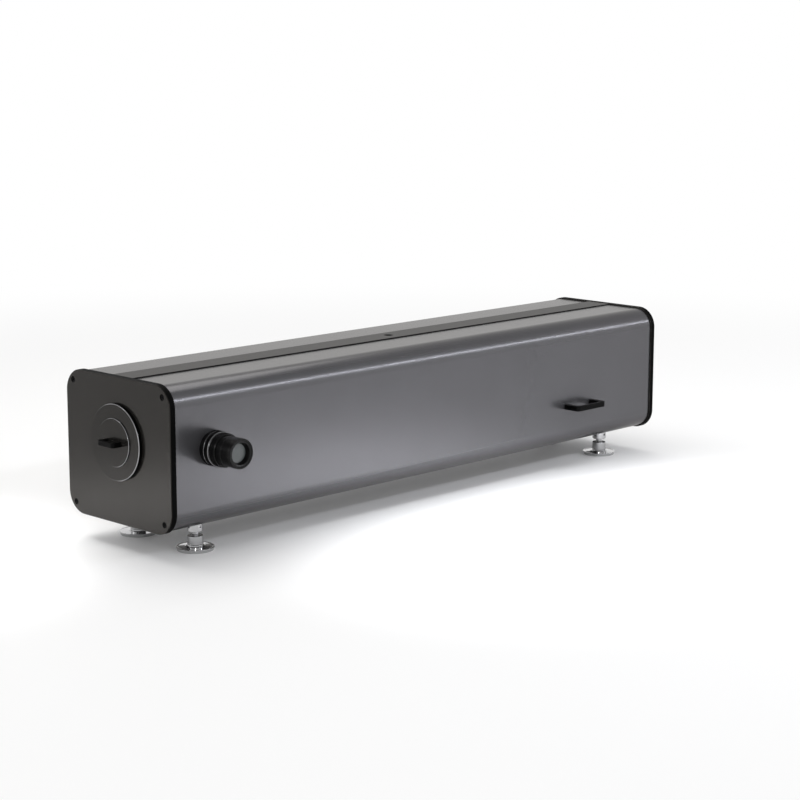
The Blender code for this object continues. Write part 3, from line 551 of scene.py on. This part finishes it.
given = screw_tree.nodes.new("NodeGroupInput").outputs
straight = figure(screw_tree, "SUBTRACT", given["Head height"], given["Chamfer"])
barrel = add_node(screw_tree, "GeometryNodeMeshCylinder", {
    "Vertices": 40, "Radius": given["Head radius"], "Depth": straight})
lift = add_node(screw_tree, "ShaderNodeCombineXYZ", {"Z": figure(screw_tree, "MULTIPLY", straight, 0.5)})
barrel = add_node(screw_tree, "GeometryNodeTransform", {
    "Geometry": barrel.outputs["Mesh"], "Translation": lift.outputs[0]})
crown = add_node(screw_tree, "GeometryNodeMeshCone", {
    "Vertices": 40, "Depth": given["Chamfer"], "Radius Bottom": given["Head radius"],
    "Radius Top": figure(screw_tree, "SUBTRACT", given["Head radius"], given["Chamfer"])})
lift = add_node(screw_tree, "ShaderNodeCombineXYZ", {"Z": straight})
crown = add_node(screw_tree, "GeometryNodeTransform", {
    "Geometry": crown.outputs["Mesh"], "Translation": lift.outputs[0]})
head = add_node(screw_tree, "GeometryNodeMeshBoolean", {
    "Mesh 2": barrel.outputs[0]}, operation="UNION", solver="EXACT")
screw_tree.links.new(crown.outputs[0], head.inputs["Mesh 2"])
hexagon = add_node(screw_tree, "GeometryNodeMeshCylinder", {
    "Vertices": 6, "Radius": given["Socket radius"],
    "Depth": figure(screw_tree, "MULTIPLY", given["Socket depth"], 2.0)})
lift = add_node(screw_tree, "ShaderNodeCombineXYZ", {"Z": given["Head height"]})
hexagon = add_node(screw_tree, "GeometryNodeTransform", {
    "Geometry": hexagon.outputs["Mesh"], "Translation": lift.outputs[0]})
head = add_node(screw_tree, "GeometryNodeMeshBoolean", {
    "Mesh 1": head.outputs["Mesh"], "Mesh 2": hexagon.outputs[0]}, operation="DIFFERENCE", solver="EXACT")
placed = add_node(screw_tree, "GeometryNodeInstanceOnPoints", {
    "Points": given["Places"], "Instance": head.outputs["Mesh"], "Rotation": given["Facing"]})
real = add_node(screw_tree, "GeometryNodeRealizeInstances", {"Geometry": placed.outputs["Instances"]})
dressed = add_node(screw_tree, "GeometryNodeSetMaterial", {"Geometry": real.outputs[0], "Material": bolt_finish})
leaving = screw_tree.nodes.new("NodeGroupOutput")
screw_tree.links.new(dressed.outputs[0], leaving.inputs["Screws"])


def grown(piece, tree, values):
    """Runs a tree on a piece with its inputs set by their identifiers, and keeps the plain mesh."""
    modifier = piece.modifiers.new("grown", "NODES")
    modifier.node_group = tree
    for identifier, value in values.items():
        modifier[identifier] = value
    settle(piece)


def screws(name, places, facing, body, slot, nodes=(), **sizes):
    """A group of like screws whose heads' undersides are at the places, facing one way."""
    points = bmesh.new()
    for place in places:
        points.verts.new(place)
    group = model(name, points)
    values = {screw_sizes[label.replace("_", " ")]: value for label, value in sizes.items()}
    values[screw_facing] = facing
    grown(group, screw_tree, values)
    fit(group, bolt_finish, body, slot, *nodes)


screw_seat = sunk_depth - clearance
front = [(screw_seat, y, z) for y, z in screw_places]
screws("aperture_end_screws", front, (0, -pi / 2, 0), "housing", "bolt",
       ["aperture_plate_screw_%d" % i for i in (1, 2, 3, 4)])
back = [(tube_length - screw_seat, y, z) for y, z in screw_places]
screws("mirror_end_screws", back, (0, pi / 2, 0), "housing", "bolt",
       ["mirror_end_plate_screw_%d" % i for i in (1, 2, 3, 4)])
head_gap = 0.0001
row_end = 0.060
row_y = 0.060
row_count = 5
row = [row_end + (tube_length - 2 * row_end) * i / (row_count - 1) for i in range(row_count)]
under = [(x, side * row_y, -half_height - head_gap) for x in row for side in (-1, 1)]
screws("shell_screws", under, (pi, 0, 0), "housing", "bolt", Head_radius=0.0052, Head_height=0.0028,
       Chamfer=0.0012, Socket_radius=0.002, Socket_depth=0.0015)


# The aperture cap is turned from plate in the same black finish: a stepped disc with a chamfered rim and
# a spigot that slides into the plate's bore. A small milled bridge handle is screwed on its boss.
cap_centre = (0, 0, beam_height)
cap_finish = metal_finish("black_anodised_cap", (0.010, 0.0095, 0.009), roughness=0.15, metallic=0.0,
                          grain=(700, 700, 700), relief=0.05, spread=0.06, turned_marks=3000, gloss=0.20,
                          gloss_colour=(1, 0.93, 0.86))
cap_rim = 0.0832
cap_face = -0.0089
cap_chamfer = 0.0014
boss_rim = 0.0525
boss_face = -0.0119
boss_chamfer = 0.0008
spigot = cap_bore - clearance
spigot_inside = spigot - 0.005
spigot_end = 0.012
spigot_floor = -0.003
profile = [(0, boss_face), (boss_rim - boss_chamfer, boss_face), (boss_rim, boss_face + boss_chamfer)]
profile += [(boss_rim, cap_face), (cap_rim - cap_chamfer, cap_face), (cap_rim, cap_face + cap_chamfer)]
profile += [(cap_rim, -clearance), (spigot, -clearance), (spigot, spigot_end)]
profile += [(spigot_inside, spigot_end), (spigot_inside, spigot_floor), (0, spigot_floor)]
cap = model("capped_aperture", turned(profile, "X", cap_centre, segments=144, edge=0.0002))
fit(cap, cap_finish, "aperture_cap", "plate", "aperture_cap")
# Painted shade: the rims of the cap and its boss are coloured darker than its faces.
paint_by_facing(cap, shaded_edge_finish, toward=(-1, 0, 0), low=-0.5, high=0.5)
# Painted highlight: the chamfers of the cap and its boss are coloured bright metal.
paint_by_facing(cap, highlight_bevel_finish, toward=(-1, 0, 0), low=0.5, high=0.9)
handle_finish = metal_finish("black_anodised_handle", (0.002, 0.002, 0.002), roughness=0.30, metallic=0.0,
                             grain=(1200, 1200, 1200), relief=0.2, gloss=0.04)


def bridge(length, reach, leg, bar):
    """Outline of a bridge handle: u along it, v away from its seat."""
    half = length / 2
    inside = half - leg
    under = reach - bar
    outer = bar * 0.9
    inner = bar * 0.5
    right = [(half, 0)] + arc(half - outer, reach - outer, outer, 0, 90, 12)
    inward = arc(inside - inner, under - inner, inner, 0, 90, 12)
    outline = right + [(-u, v) for u, v in reversed(right)] + [(-inside, 0)]
    return outline + [(-u, v) for u, v in inward] + list(reversed(inward)) + [(inside, 0)]


def drawn_in(outline, distance):
    """The outline moved inwards by a distance, corner by corner."""
    points = [Vector(point) for point in outline]
    following = points[1:] + points[:1]
    area = sum(here.x * there.y - there.x * here.y for here, there in zip(points, following))
    turn = 1 if area > 0 else -1
    moved = []
    for i, here in enumerate(points):
        before = (here - points[i - 1]).normalized()
        after = (following[i] - here).normalized()
        left = Vector((-before.y, before.x)) * turn
        right = Vector((-after.y, after.x)) * turn
        middle = (left + right).normalized()
        moved.append(here + middle * distance / max(middle.dot(left), 0.5))
    return [(point.x, point.y) for point in moved]


def rounded_bar(outline, half, edge):
    """An outline in X and Y pushed along Z both ways, with its long edges rounded."""
    steps = [(edge * (1 - sin(radians(a))), edge * (1 - cos(radians(a)))) for a in (0, 22.5, 45, 67.5, 90)]
    loops = [(-half + depth, inset) for inset, depth in steps]
    loops += [(half - depth, inset) for inset, depth in reversed(steps)]
    return loft([[(x, y, z) for x, y in drawn_in(outline, inset)] for z, inset in loops])


outline = [(boss_face - clearance - v, u) for u, v in bridge(length=0.055, reach=0.0227, leg=0.009, bar=0.008)]
bar = rounded_bar(outline, half=0.0055, edge=0.0008)
bmesh.ops.translate(bar, verts=bar.verts, vec=cap_centre)
fit(model("cap_pull", bar), handle_finish, "aperture_cap", "black", "cap_handle")


# The carrying handles are bridge handles milled from aluminium and anodised black. Each is held by two
# screws, one up each leg, from inside its shell.
for name, side in (("port_side", -1), ("far_side", 1)):
    outline = [(u, side * (clearance + v)) for u, v in bridge(length=0.110, reach=0.0457, leg=0.013, bar=0.011)]
    bar = rounded_bar(outline, half=0.0065, edge=0.0011)
    bmesh.ops.translate(bar, verts=bar.verts, vec=(handle_x, side * half_width, handle_z))
    fit(model(name + "_carrying_handle", bar), handle_finish, "housing", "black", name + "_handle")
    seat = side * (half_width - shell_wall - head_gap)
    held = [(handle_x + offset, seat, handle_z) for offset in (-handle_screw_x, handle_screw_x)]
    screws(name + "_handle_screws", held, (side * pi / 2, 0, 0), "housing", "bolt", Head_radius=0.0052,
           Head_height=0.0028, Chamfer=0.0008, Socket_radius=0.002, Socket_depth=0.0015)


# The focusing port is turned in black anodised aluminium: a flange on the wall, a knurled focusing ring,
# a narrower knurled clamping ring and the draw tube, with a ground glass reticle behind its end ring.
port_finish = metal_finish("black_anodised_port", (0.004, 0.004, 0.004), roughness=0.25, metallic=0.0,
                           grain=(1200, 1200, 1200), relief=0.15, turned_marks=4000, gloss=0.15)
port_axis = (port_x, -half_width, port_height)
knurl_tree = bpy.data.node_groups.new("knurled_band", "GeometryNodeTree")
knurl_tree.interface.new_socket("Ring", in_out="INPUT", socket_type="NodeSocketGeometry")
knurl_inputs = {}
for label, kind in (("Ridges", "Int"), ("Root radius", "Float"), ("Length", "Float"), ("Ridge size", "Float"),
                    ("Middle", "Vector")):
    socket = knurl_tree.interface.new_socket(label, in_out="INPUT", socket_type="NodeSocket" + kind)
    knurl_inputs[label] = socket.identifier
knurl_tree.interface.new_socket("Knurled ring", in_out="OUTPUT", socket_type="NodeSocketGeometry")
given = knurl_tree.nodes.new("NodeGroupInput").outputs
ridge = add_node(knurl_tree, "GeometryNodeMeshCylinder", {
    "Vertices": 4, "Radius": given["Ridge size"], "Depth": given["Length"]})
out = add_node(knurl_tree, "ShaderNodeCombineXYZ", {"X": given["Root radius"]})
ridge = add_node(knurl_tree, "GeometryNodeTransform", {
    "Geometry": ridge.outputs["Mesh"], "Rotation": (pi / 2, 0, 0), "Translation": out.outputs[0]})
points = add_node(knurl_tree, "GeometryNodePoints", {"Count": given["Ridges"]})
share = figure(knurl_tree, "DIVIDE", add_node(knurl_tree, "GeometryNodeInputIndex").outputs[0], given["Ridges"])
angle = figure(knurl_tree, "MULTIPLY", share, 2 * pi)
spin = add_node(knurl_tree, "ShaderNodeCombineXYZ", {"Y": angle})
placed = add_node(knurl_tree, "GeometryNodeInstanceOnPoints", {
    "Points": points.outputs[0], "Instance": ridge.outputs[0], "Rotation": spin.outputs[0]})
real = add_node(knurl_tree, "GeometryNodeRealizeInstances", {"Geometry": placed.outputs["Instances"]})
band = add_node(knurl_tree, "GeometryNodeTransform", {"Geometry": real.outputs[0], "Translation": given["Middle"]})
whole = add_node(knurl_tree, "GeometryNodeJoinGeometry", {"Geometry": band.outputs[0]})
knurl_tree.links.new(given["Ring"], whole.inputs["Geometry"])
dressed = add_node(knurl_tree, "GeometryNodeSetMaterial", {"Geometry": whole.outputs[0], "Material": port_finish})
leaving = knurl_tree.nodes.new("NodeGroupOutput")
knurl_tree.links.new(dressed.outputs[0], leaving.inputs["Knurled ring"])


def port_piece(name, profile):
    """A turned piece on the port's axis. Heights in the profile are distances out from the wall."""
    return model(name, turned([(r, -h) for r, h in profile], "Y", port_axis))


def knurl(piece, ridges, root, start, end, size):
    """Rolls a band of straight ridges on a ring, between two distances out from the wall."""
    middle = tube + Vector(port_axis) - Vector((0, (start + end) / 2, 0))
    grown(piece, knurl_tree, {
        knurl_inputs["Ridges"]: ridges, knurl_inputs["Root radius"]: root, knurl_inputs["Length"]: end - start,
        knurl_inputs["Ridge size"]: size, knurl_inputs["Middle"]: tuple(middle)})


neck_in = 0.0328
neck_out = 0.0346
neck_back = -0.0103
ring_bore = neck_out + clearance
flange = port_piece("wall_flange", [
    (neck_in, neck_back), (neck_out, neck_back), (neck_out, clearance), (0.0365, clearance), (0.0365, 0.0042),
    (neck_out, 0.0042), (neck_out, 0.034), (neck_in, 0.034)])
fit(flange, port_finish, "housing", "black", "port_flange")
ring = port_piece("focusing_ring", [
    (ring_bore, 0.0045), (0.0366, 0.0045), (0.0378, 0.0058), (0.0378, 0.0136), (0.0370, 0.0142), (0.0370, 0.0152),
    (0.0378, 0.0158), (0.0378, 0.0266), (0.0369, 0.0275), (0.0358, 0.0290), (ring_bore, 0.0290)])
knurl(ring, ridges=110, root=0.0376, start=0.0058, end=0.0136, size=0.0009)
knurl(ring, ridges=110, root=0.0376, start=0.0158, end=0.0262, size=0.0009)
fit(ring, port_finish, "focus_ring", "black", "focus_ring")
# Painted highlight: the focusing ring's front chamfer is coloured bright metal.
paint_by_facing(ring, highlight_bevel_finish, toward=(0, -1, 0), low=0.68, high=0.74)
ring = port_piece("clamping_ring", [
    (neck_in, 0.0343), (0.0345, 0.0343), (0.0359, 0.0356), (0.0359, 0.0449), (0.0345, 0.0461), (neck_in, 0.0461)])
knurl(ring, ridges=96, root=0.0357, start=0.0358, end=0.0447, size=0.0008)
fit(ring, port_finish, "clamp_ring", "black", "clamp_ring")
draw = port_piece("source_tube", [
    (0.026, -0.030), (0.0325, -0.030), (0.0325, 0.0602), (0.0317, 0.0608), (0.0317, 0.0618), (0.0325, 0.0624),
    (0.0325, 0.086), (0.0318, 0.0866), (0.0318, 0.0872), (0.0325, 0.0878), (0.0325, 0.0912), (0.0318, 0.092),
    (0.0285, 0.092), (0.0285, 0.0774), (0.026, 0.0774)])
fit(draw, port_finish, "draw_tube", "black", "draw_tube")
ring = port_piece("reticle_keeper", [
    (0.020, 0.081), (0.0282, 0.081), (0.0282, 0.0910), (0.0262, 0.0910), (0.024, 0.0900)])
fit(ring, port_finish, "draw_tube", "black", "reticle_ring")
glass_finish = metal_finish("ground_glass", (0.060, 0.068, 0.068), roughness=0.25, metallic=0.0,
                            grain=(2500, 2500, 2500), relief=0.3)
disc = port_piece("ground_reticle", [(0, 0.0777), (0.0282, 0.0777), (0.0282, 0.0807), (0, 0.0807)])
fit(disc, glass_finish, "draw_tube", "glass", "reticle")
nut = port_piece("inner_ring_nut", [
    (ring_bore, neck_back), (0.043, neck_back), (0.043, -0.0043), (ring_bore, -0.0043)])
fit(nut, port_finish, "housing", "black", "port_ring_nut")


# The levelling feet are polished stainless steel: a lock nut with tommy bar holes against the housing, a
# threaded screw with a plain sleeve, and a wide pad with a stepped rim.
steel_finish = metal_finish("polished_stainless", (0.46, 0.46, 0.465), roughness=0.07, metallic=1.0,
                            grain=(600, 600, 600), relief=0.05, spread=0.05, turned_marks=2500)
thread_tree = bpy.data.node_groups.new("rolled_thread", "GeometryNodeTree")
thread_tree.interface.new_socket("Stem", in_out="INPUT", socket_type="NodeSocketGeometry")
thread_inputs = {}
for label, kind in (("Radius", "Float"), ("Pitch", "Float"), ("Turns", "Float"), ("Crest", "Float"),
                    ("Start", "Vector")):
    socket = thread_tree.interface.new_socket(label, in_out="INPUT", socket_type="NodeSocket" + kind)
    thread_inputs[label] = socket.identifier
thread_tree.interface.new_socket("Threaded stem", in_out="OUTPUT", socket_type="NodeSocketGeometry")
given = thread_tree.nodes.new("NodeGroupInput").outputs
helix = add_node(thread_tree, "GeometryNodeCurveSpiral", {
    "Resolution": 40, "Rotations": given["Turns"], "Start Radius": given["Radius"], "End Radius": given["Radius"],
    "Height": figure(thread_tree, "MULTIPLY", given["Pitch"], given["Turns"])})
crest = add_node(thread_tree, "GeometryNodeCurvePrimitiveCircle", {"Resolution": 4, "Radius": given["Crest"]})
coil = add_node(thread_tree, "GeometryNodeCurveToMesh", {
    "Curve": helix.outputs[0], "Profile Curve": crest.outputs["Curve"], "Fill Caps": True})
coil = add_node(thread_tree, "GeometryNodeTransform", {"Geometry": coil.outputs[0], "Translation": given["Start"]})
real = add_node(thread_tree, "GeometryNodeRealizeInstances", {"Geometry": coil.outputs[0]})
whole = add_node(thread_tree, "GeometryNodeJoinGeometry", {"Geometry": real.outputs[0]})
thread_tree.links.new(given["Stem"], whole.inputs["Geometry"])
dressed = add_node(thread_tree, "GeometryNodeSetMaterial", {"Geometry": whole.outputs[0], "Material": steel_finish})
leaving = thread_tree.nodes.new("NodeGroupOutput")
thread_tree.links.new(dressed.outputs[0], leaving.inputs["Threaded stem"])

floor_z = -tube.z
nut_radius = 0.0175
nut_bore = 0.0083
nut_chamfer = 0.0008
nut_hole = 0.003
nut_hole_floor = 0.0125
sleeve_radius = 0.0175
sleeve_chamfer = 0.0007
thread_root = 0.0073
stud = 0.0079
stem_top = -0.1344
nut_top = -half_height - clearance
nut_low = nut_top - 0.0225
sleeve_top = nut_low - 0.0093
pad_top = floor_z + 0.0092
feet = (("port_front", foot_x[0], -foot_y), ("far_front", foot_x[0], foot_y),
        ("port_rear", foot_x[1], -foot_y), ("far_rear", foot_x[1], foot_y))
for name, x, y in feet:
    at = (x, y, 0)
    nut = model("capstan_nut_" + name, turned([
        (nut_bore, nut_low), (nut_radius - nut_chamfer, nut_low), (nut_radius, nut_low + nut_chamfer),
        (nut_radius, nut_top - nut_chamfer), (nut_radius - nut_chamfer, nut_top), (nut_bore, nut_top)],
        "Z", at, segments=64))
    holes = []
    for i in range(4):
        hole = through([(0, 0)], nut_hole, nut_hole_floor, 0.025, "X", segments=24)[0]
        bmesh.ops.rotate(hole, verts=hole.verts, matrix=Matrix.Rotation(i * pi / 2, 3, "Z"))
        bmesh.ops.translate(hole, verts=hole.verts, vec=(x, y, (nut_low + nut_top) / 2))
        holes.append(hole)
    cut(nut, *holes)
    fit(nut, steel_finish, "housing", "steel", "lock_nut_" + name)
    stem = model("levelling_screw_" + name, turned([
        (0, pad_top - 0.0047), (0.006, pad_top - 0.0047), (0.006, pad_top + clearance),
        (sleeve_radius, pad_top + clearance), (sleeve_radius, sleeve_top - sleeve_chamfer),
        (sleeve_radius - sleeve_chamfer, sleeve_top), (stud, sleeve_top), (thread_root, sleeve_top + 0.0005),
        (thread_root, -half_height - 0.001), (stud, -half_height + 0.001), (0.008, stem_top - 0.0002),
        (0, stem_top)], "Z", at, segments=64, edge=0.0002))
    grown(stem, thread_tree, {
        thread_inputs["Radius"]: thread_root, thread_inputs["Pitch"]: 0.002, thread_inputs["Turns"]: 4.6,
        thread_inputs["Crest"]: 0.00068, thread_inputs["Start"]: tuple(tube + Vector((x, y, sleeve_top + 0.0002)))})
    fit(stem, steel_finish, "screw_" + name, "steel", "foot_screw_" + name)
    pad = model("stepped_pad_" + name, turned([
        (0, floor_z), (0.0395, floor_z), (0.040, floor_z + 0.0005), (0.040, floor_z + 0.0041),
        (0.0413, floor_z + 0.0046), (0.042, floor_z + 0.0053), (0.042, floor_z + 0.0072),
        (0.0412, floor_z + 0.0080), (0.0385, floor_z + 0.0080), (0.0375, floor_z + 0.0074),
        (0.0225, floor_z + 0.0084), (0.0205, pad_top), (0.0063, pad_top), (0.0063, pad_top - 0.005),
        (0, pad_top - 0.005)], "Z", at))
    fit(pad, steel_finish, "pad_" + name, "steel", "foot_pad_" + name)


# Inside, the base plate, the mirror clips and the tilt screws are bare machined aluminium. The stop ring,
# baffles, cells, stand and arm are matt black against stray light. The two mirrors are polished glass with
# a bright coating, and the draw bolt is black steel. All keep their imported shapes.
machined_finish = metal_finish("machined_aluminium", (0.52, 0.52, 0.53), roughness=0.32, metallic=1.0,
                               grain=(40, 900, 900), relief=0.2)
matt_finish = metal_finish("matt_black_inside", (0.012, 0.012, 0.012), roughness=0.6, metallic=0.1,
                           grain=(900, 900, 900), relief=0.3)
coating_finish = metal_finish("mirror_coating", (0.88, 0.90, 0.92), roughness=0.04, metallic=1.0,
                              grain=(30, 30, 30), relief=0.0, spread=0.01)
inside = {
    "base_plate": machined_finish, "aperture_stop_ring": matt_finish, "mirror_cell": matt_finish,
    "mirror_stand": matt_finish, "mirror_draw_bolt": bolt_finish, "fold_mirror_cell": matt_finish,
    "fold_mirror_arm": matt_finish, "parabolic_mirror": coating_finish, "fold_mirror": coating_finish,
}
for i in (1, 2, 3):
    inside["baffle_%d" % i] = matt_finish
    inside["mirror_clip_%d" % i] = machined_finish
    inside["tilt_screw_%d" % i] = machined_finish
for node, finish in inside.items():
    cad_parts[node].data.materials.clear()
    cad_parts[node].data.materials.append(finish)
